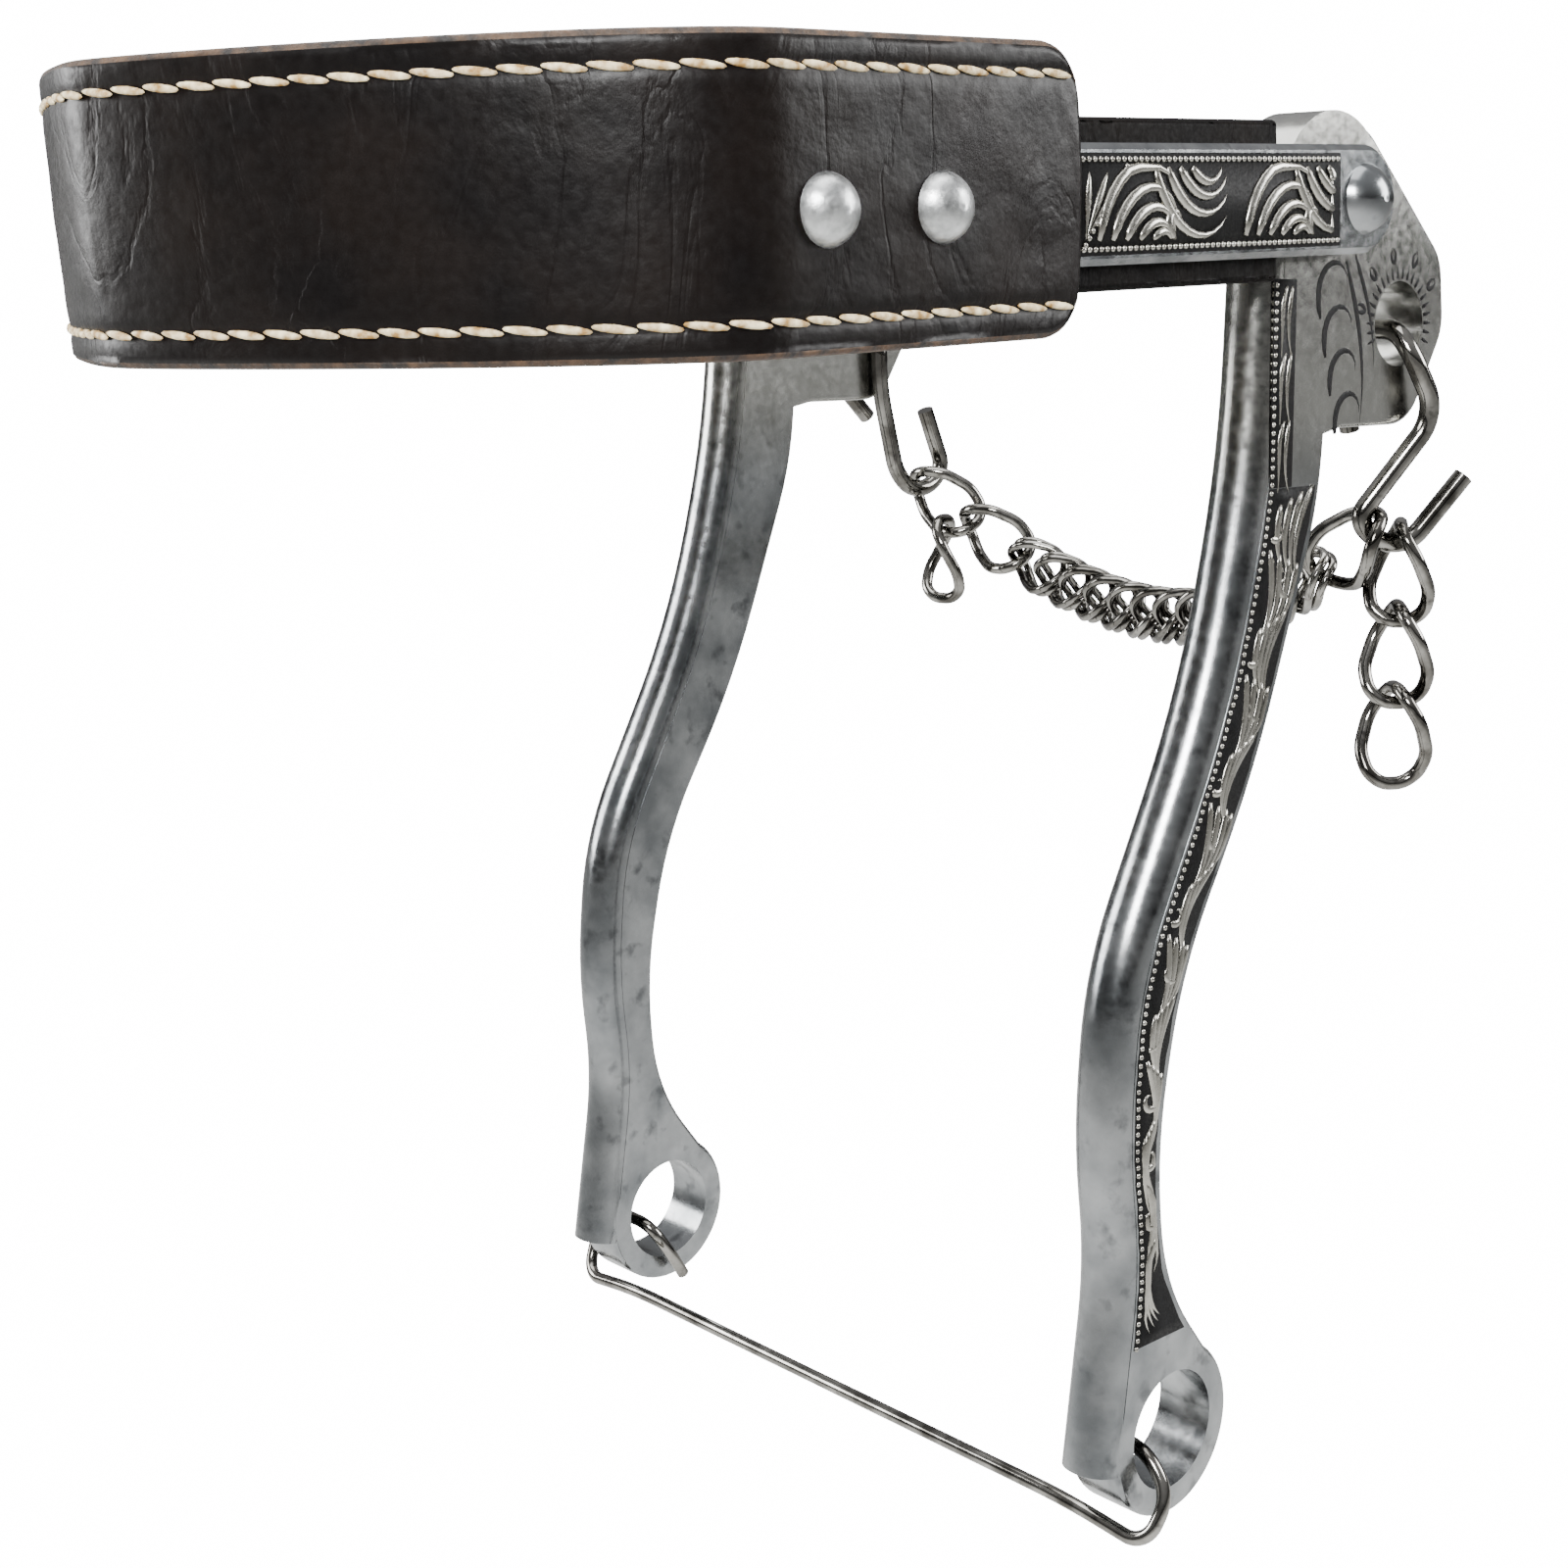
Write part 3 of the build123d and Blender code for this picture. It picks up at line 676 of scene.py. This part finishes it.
@dataclass
class NoseArm:
    """Oxidised panel with bead borders, three upright leaves and rolling scrolls on an arm's face."""

    face: float = 76.5
    drop: float = 2.2
    front: float = 75.2
    back: float = 7.6
    half: float = 6.9
    bead: float = 0.95
    bead_spacing: float = 1.3
    bead_lift: float = 0.1
    ground_overlap: float = 0.45
    ground_rise: float = 0.06
    border_inset: float = 0.5
    scroll_clearance: float = 1.2
    rising_run: float = 13.0
    falling_run: float = 22.0

    def placer(self, side: Side) -> Place:
        """Map distance in front of the pivot, height and rise to a place on the arm."""
        turn = math.radians(self.drop)

        def place(u: float, v: float, up: float) -> Vector:
            """One point of the arm's face, raised by up."""
            x = side.value * (self.face + up)
            return Vector((x, -u * math.cos(turn) - v * math.sin(turn),
                           -u * math.sin(turn) + v * math.cos(turn))) * MM
        return place

    def build(self, side: Side, ground: bpy.types.Material, bright: bpy.types.Material) -> None:
        """Make the panel, the beads and the scrolls of one arm."""
        tag = side.name.lower()
        place = self.placer(side)
        panel = relief(place)
        ground_half = self.half + self.ground_overlap
        stations = (self.front + 6, 50.0, 25.0, self.back)
        panel.panel([(u, -ground_half, u, ground_half) for u in stations], self.ground_rise)
        panel.finish(f"arm_ground_{tag}", ground, "noseband", "cast_steel")
        edge = self.half - self.border_inset
        last = self.front - 1.2
        beads = ROWS.make(f"arm_beads_{tag}", self.borders(place, edge, last), bright,
                          {"Spacing": self.bead_spacing, "Length": self.bead, "Width": self.bead,
                           "Height": self.bead, "Slant": 0.0})
        hand_over(beads, "noseband", "cast_steel")
        rim = edge - self.scroll_clearance

        def keep(u: float, v: float) -> tuple[float, float]:
            """Hold a point of a scroll inside the bead borders."""
            return min(max(u, self.back + 2.5), last - 2.5), min(max(v, -rim), rim)

        scroll = relief(place, keep)
        for i in range(3):
            scroll.leaf([(last - 3.2 - (0.1 + 0.45 * i) * step, -rim + 0.3 + 1.05 * step)
                         for step in range(10)], 1.6, 0.55, 1.5)
        start = last - 6.0
        while start > self.back + 8:
            RISING_FAN.grow(scroll, start, -rim)
            scroll.comma(start - 17.5, -rim, 40, 8.0, 280, 2.2, RISING_FAN.rise)
            start -= self.rising_run
            FALLING_FAN.grow(scroll, start, rim)
            start -= self.falling_run
        scroll.finish(f"arm_scrolls_{tag}", bright, "noseband", "cast_steel")

    def borders(self, place: Place, edge: float, last: float) -> list[list[Vector]]:
        """Lines of beads: both edges, two across the front and one slanting back from it.

        Args:
            place: the arm's face.
            edge: distance of the border from the arm's middle.
            last: where the front border stands, in front of the pivot.
        Returns:
            Runs of points in metres.
        """
        lift = self.bead_lift
        lines = [[place(last, s * edge, lift), place(self.back + 1, s * edge, lift)] for s in (-1, 1)]
        for k in (0, 1.25):
            lines.append([place(last - k * 1.15, -edge, lift), place(last - k * 1.15, edge, lift)])
        lines.append([place(last - 3, -edge + 0.6, lift), place(last - 12.5, edge - 1.0, lift)])
        return lines


@dataclass
class Shank:
    """Bead row, dark ground and leaf scrolls down a shank's outer face, and a cut plate at its head."""

    face: float = 70.2
    hole: tuple[float, float] = (20.2, -20.5)
    hole_radius: float = 7.3
    top: float = -47.0
    low: float = -186.0
    margin: float = 0.9
    strip: float = 6.4
    strip_top: float = -13.0
    strip_beads: tuple[float, ...] = (-14.0, -25.0, -36.0)
    ground_inset: float = 0.3
    ground_rise: float = 0.05
    bead_inset: float = 1.0
    bead_sink: float = -0.1
    front_clearance: float = 2.6
    back_clearance: float = 0.8
    leaf_rise: float = 0.42
    cut_rise: float = 0.05
    scan_start: float = -60.0
    scan_step: float = 0.35
    scan_count: int = 260
    scan_from: float = 90.0
    scan_reach: float = 25.0
    face_tolerance: float = 0.04

    def placer(self, side: Side) -> Place:
        """Map Y, Z and rise to a place on the outer face."""
        def place(u: float, v: float, up: float) -> Vector:
            """One point of the shank's face, raised by up."""
            return Vector((side.value * (self.face + up), u, v)) * MM
        return place

    def spans(self, side: Side, step: float = 2.0) -> list[tuple[float, float, float]]:
        """Front and back of the flat outer face at each height.

        Args:
            side: which shank.
            step: distance between two heights.
        Returns:
            (z, front y, back y) from the top down, in millimetres.
        """
        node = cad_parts[f"shank_{side.name.lower()}"]
        tree = BVHTree.FromObject(node, bpy.context.evaluated_depsgraph_get())
        found = []
        z = self.top
        while z >= self.low:
            hits = []
            for i in range(self.scan_count):
                y = self.scan_start + i * self.scan_step
                start = Vector((side.value * self.scan_from, y, z)) * MM
                place = tree.ray_cast(start, Vector((-side.value, 0, 0)), self.scan_reach * MM)[0]
                if place and abs(place.x) > (self.face - self.face_tolerance) * MM:
                    hits.append(y)
            if hits:
                found.append((z, min(hits), max(hits)))
            z -= step
        return found

    def build(self, side: Side, ground: bpy.types.Material, bright: bpy.types.Material) -> None:
        """Make the ornament of one shank."""
        tag = side.name.lower()
        body = f"shank_{tag}"
        place = self.placer(side)
        spans = self.spans(side)
        edge = spans[0][1]
        floor = relief(place)
        floor.panel([(y0 + self.ground_inset, z, y1 - self.margin, z) for z, y0, y1 in spans],
                    self.ground_rise)
        floor.panel([(edge + self.ground_inset, z, edge + self.strip, z)
                     for z in (self.strip_top, self.top + 0.1)], self.ground_rise)
        floor.finish(f"shank_ground_{tag}", ground, body, "cast_steel")
        line = [place(edge + self.bead_inset, z, self.bead_sink) for z in self.strip_beads]
        line += [place(y0 + self.bead_inset, z, self.bead_sink) for z, y0, _ in spans]
        beads = ROWS.make(f"shank_beads_{tag}", [line], bright,
                          {"Spacing": 1.4, "Length": 1.0, "Width": 1.0, "Height": 0.95, "Slant": 0.0})
        hand_over(beads, body, "cast_steel")
        self.scrolls(spans, place).finish(f"shank_scrolls_{tag}", bright, body, "cast_steel")
        self.head(place).finish(f"shank_cuts_{tag}", ground, body, "cast_steel")

    def scrolls(self, spans: Sequence[tuple[float, float, float]], place: Place) -> Relief:
        """Leaves that hang one below the other down the blade, and short ones beside the head.

        Args:
            spans: front and back of the face at each height.
            place: the shank's face.
        Returns:
            The relief.
        """
        step = spans[0][0] - spans[1][0]

        def keep(u: float, v: float) -> tuple[float, float]:
            """Hold a point of a scroll between the beads and the back edge."""
            row = min(max((spans[0][0] - v) / step, 0.0), len(spans) - 1.001)
            low, share = int(row), row - int(row)
            front = spans[low][1] * (1 - share) + spans[low + 1][1] * share + self.front_clearance
            back = spans[low][2] * (1 - share) + spans[low + 1][2] * share - self.margin
            return min(max(u, front), max(front, back - self.back_clearance)), v

        scroll = relief(place, keep)
        for group, i in enumerate(range(0, len(spans) - 8, 5)):
            z, front, back = spans[i]
            lower = spans[i + 5]
            lean = math.degrees(math.atan2(lower[0] - z, lower[1] - front))
            side = 1 if group % 2 else -1
            ends = (front + self.front_clearance, back - self.margin - self.back_clearance)
            near, far = ends if side > 0 else ends[::-1]
            for k in range(4):
                scroll.comma(near + (far - near) * 0.3 * k, z - 0.9 * k, lean + side * (26 - 7 * k),
                             17.0 - 1.6 * k, -side * 58, 1.9, self.leaf_rise)
            if group:
                scroll.comma(near, z + 2.0, lean + side * 75, 6.0, side * 250, 1.6, self.leaf_rise)
        edge = spans[0][1]
        for i in range(3):
            for k in range(2):
                scroll.comma(edge + 5.2 - 1.5 * k, self.strip_top - 1.0 - 11.0 * i, -104 - 8 * k, 12.0, 40,
                             1.2, self.leaf_rise)
        return scroll

    def head(self, place: Place) -> Relief:
        """Cut lines round the headstall hole and down the plate."""
        cuts = relief(place)
        y, z = self.hole
        for i in range(22):
            turn = math.radians(-20 + 220 * i / 21)
            inner, outer = self.hole_radius + 0.4, self.hole_radius + 2.5
            path = [(y + math.cos(turn) * r, z + math.sin(turn) * r)
                    for r in (inner, (inner + outer) / 2, outer)]
            cuts.leaf(path, 0.95, self.cut_rise)
        for i in range(5):
            turn = math.radians(35 + 33 * i)
            for bend in (-50, 50):
                start = self.hole_radius + 3.0
                cuts.comma(y + math.cos(turn) * start, z + math.sin(turn) * start,
                           math.degrees(turn) + bend * 0.7, 3.4, -bend * 2.0, 1.1, self.cut_rise)
        for i in range(4):
            cuts.comma(-3.0 + 1.7 * i, -19.5 - 6.4 * i, 108 - 4 * i, 17.5 - 1.2 * i, -200, 1.9,
                       self.cut_rise)
        cuts.comma(4.0, -10.0, -66, 28.0, -34, 1.6, self.cut_rise)
        cuts.comma(6.6, -9.0, -60, 20.0, -30, 1.3, self.cut_rise)
        return cuts


# ---- Carried-over metal -------------------------------------------------------------------------------
@dataclass
class Metalwork:
    """Finishes of the castings, wires and chain that keep their own shapes."""

    bend_degrees: float = 32.0
    weld_mm: float = 0.002

    def dress(self, node: str, material: bpy.types.Material) -> None:
        """Give a carried-over part its material and smooth its rounded faces."""
        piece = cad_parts[node]
        piece.data.materials.clear()
        piece.data.materials.append(material)
        weld = piece.modifiers.new("weld", "WELD")
        weld.merge_threshold = self.weld_mm * MM
        piece.data.polygons.foreach_set("use_smooth", [True] * len(piece.data.polygons))
        split = piece.modifiers.new("edges", "EDGE_SPLIT")
        split.split_angle = math.radians(self.bend_degrees)
        LOG.info("%s dressed in %s", node, material.name)

    def build(self) -> None:
        """Dress every metal part."""
        cast = CAST_METAL.build()
        engraved = ENGRAVED_METAL.build()
        wire = NICKEL_PLATE.build()
        rivet = DULL_RIVET.build()
        for node in sorted(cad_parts):
            if node.startswith("shank"):
                self.dress(node, engraved)
            elif node.startswith(("nose_arm", "pivot")):
                self.dress(node, cast)
            elif node.startswith(("chain", "tail", "curb", "spreader")):
                self.dress(node, wire)
            elif "rivets" in node or "burrs" in node:
                self.dress(node, rivet)


# ---- Room ---------------------------------------------------------------------------------------------
@dataclass
class Studio:
    """Pale floor, soft lights and the camera."""

    eye: tuple[float, float, float] = (298.8, -333.8, -15.3)
    yaw: float = 47.1
    pitch: float = -7.4
    lens: float = 54.16
    shift: tuple[float, float] = (-0.0075, -0.1175)
    floor_z: float = -420.0
    glow: float = 16.0

    def camera(self) -> None:
        """Place the camera."""
        data = bpy.data.cameras.new("camera")
        data.lens = self.lens
        data.sensor_width = 36.0
        data.shift_x, data.shift_y = self.shift
        data.clip_start = 0.01
        camera = bpy.data.objects.new("camera", data)
        camera.location = Vector(self.eye) * MM
        camera.rotation_euler = (math.radians(90 + self.pitch), 0.0, math.radians(self.yaw))
        bpy.context.scene.collection.objects.link(camera)
        bpy.context.scene.camera = camera

    def floor(self) -> None:
        """Lay the pale floor."""
        reach = 30.0
        z = self.floor_z * MM
        points = [Vector((x, y, z)) for x, y in ((-reach, -reach), (reach, -reach), (reach, reach),
                                                 (-reach, reach))]
        material = bpy.data.materials.new("pale_floor")
        material.use_nodes = True
        tree = material.node_tree
        shader = tree.nodes["Principled BSDF"]
        shader.inputs["Base Color"].default_value = linear("#d8d8d6")
        shader.inputs["Roughness"].default_value = 0.9
        glow = add_node(tree, "ShaderNodeEmission", {0: linear("#ffffff"), 1: self.glow})
        seen = add_node(tree, "ShaderNodeLightPath").outputs["Is Camera Ray"]
        mixed = add_node(tree, "ShaderNodeMixShader", {0: seen, 1: shader.outputs[0], 2: glow.outputs[0]})
        tree.links.new(mixed.outputs[0], tree.nodes["Material Output"].inputs["Surface"])
        mesh_piece("floor", points, [(0, 1, 2, 3)], [material])

    def sky(self) -> None:
        """A white surround that metal sees as bright above and dark at its sides."""
        world = bpy.data.worlds.new("surround")
        bpy.context.scene.world = world
        world.use_nodes = True
        tree = world.node_tree
        tree.nodes.clear()
        place = add_node(tree, "ShaderNodeTexCoord").outputs["Generated"]
        parts = add_node(tree, "ShaderNodeSeparateXYZ", {0: place}).outputs
        ramp = add_node(tree, "ShaderNodeValToRGB", {0: add_node(
            tree, "ShaderNodeMapRange", {0: parts[2], 1: -1.0, 2: 1.0}).outputs[0]})
        stops = ramp.color_ramp.elements
        stops[0].position, stops[0].color = 0.0, (0.55, 0.55, 0.55, 1)
        stops[1].position, stops[1].color = 1.0, (0.9, 0.9, 0.92, 1)
        for where, value in ((0.42, 0.10), (0.52, 0.03), (0.62, 0.30)):
            stop = stops.new(where)
            stop.color = (value, value, value, 1)
        seen = add_node(tree, "ShaderNodeBackground", {0: linear("#ffffff"), 1: self.glow})
        soft = add_node(tree, "ShaderNodeBackground", {0: linear("#fdfdfd"), 1: 0.8})
        mirrored = add_node(tree, "ShaderNodeBackground", {0: ramp.outputs[0], 1: 1.0})
        path = add_node(tree, "ShaderNodeLightPath").outputs
        lit = add_node(tree, "ShaderNodeMixShader", {0: path["Is Diffuse Ray"], 1: mirrored.outputs[0],
                                                     2: soft.outputs[0]})
        mixed = add_node(tree, "ShaderNodeMixShader", {0: path["Is Camera Ray"], 1: lit.outputs[0],
                                                       2: seen.outputs[0]})
        add_node(tree, "ShaderNodeOutputWorld", {0: mixed.outputs[0]})

    def lamp(self, name: str, place: tuple[float, float, float], aim: tuple[float, float, float],
             size: float, power: float) -> None:
        """Hang a square soft light.

        Args:
            name: the light's name.
            place: where it hangs, in millimetres.
            aim: what it points at, in millimetres.
            size: its side, in metres.
            power: in watts.
        """
        data = bpy.data.lights.new(name, "AREA")
        data.size = size
        data.energy = power
        lamp = bpy.data.objects.new(name, data)
        lamp.location = Vector(place) * MM
        lamp.rotation_euler = (Vector(aim) - Vector(place)).to_track_quat("-Z", "Y").to_euler()
        bpy.context.scene.collection.objects.link(lamp)

    def build(self) -> None:
        """Set up the room."""
        self.camera()
        self.floor()
        self.sky()
        middle = (0.0, -60.0, -90.0)
        self.lamp("key", (330.0, -520.0, 250.0), middle, 0.2, 8.0)
        self.lamp("top", (-100.0, -100.0, 800.0), middle, 0.9, 14.0)
        self.lamp("side", (-600.0, -500.0, 100.0), middle, 0.35, 7.0)
        self.lamp("rear", (500.0, 500.0, 250.0), middle, 0.35, 7.0)


def main() -> None:
    """Build the hackamore and the room round it."""
    logging.basicConfig(level=logging.INFO, format="%(message)s")
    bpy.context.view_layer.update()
    Studio().build()
    Noseband().build()
    Metalwork().build()
    ground = OXIDE_GROUND.build()
    bright = RUBBED_SCROLL.build()
    for side in Side:
        NoseArm().build(side, ground, bright)
        Shank().build(side, ground, bright)


if __name__ == "__main__":
    main()
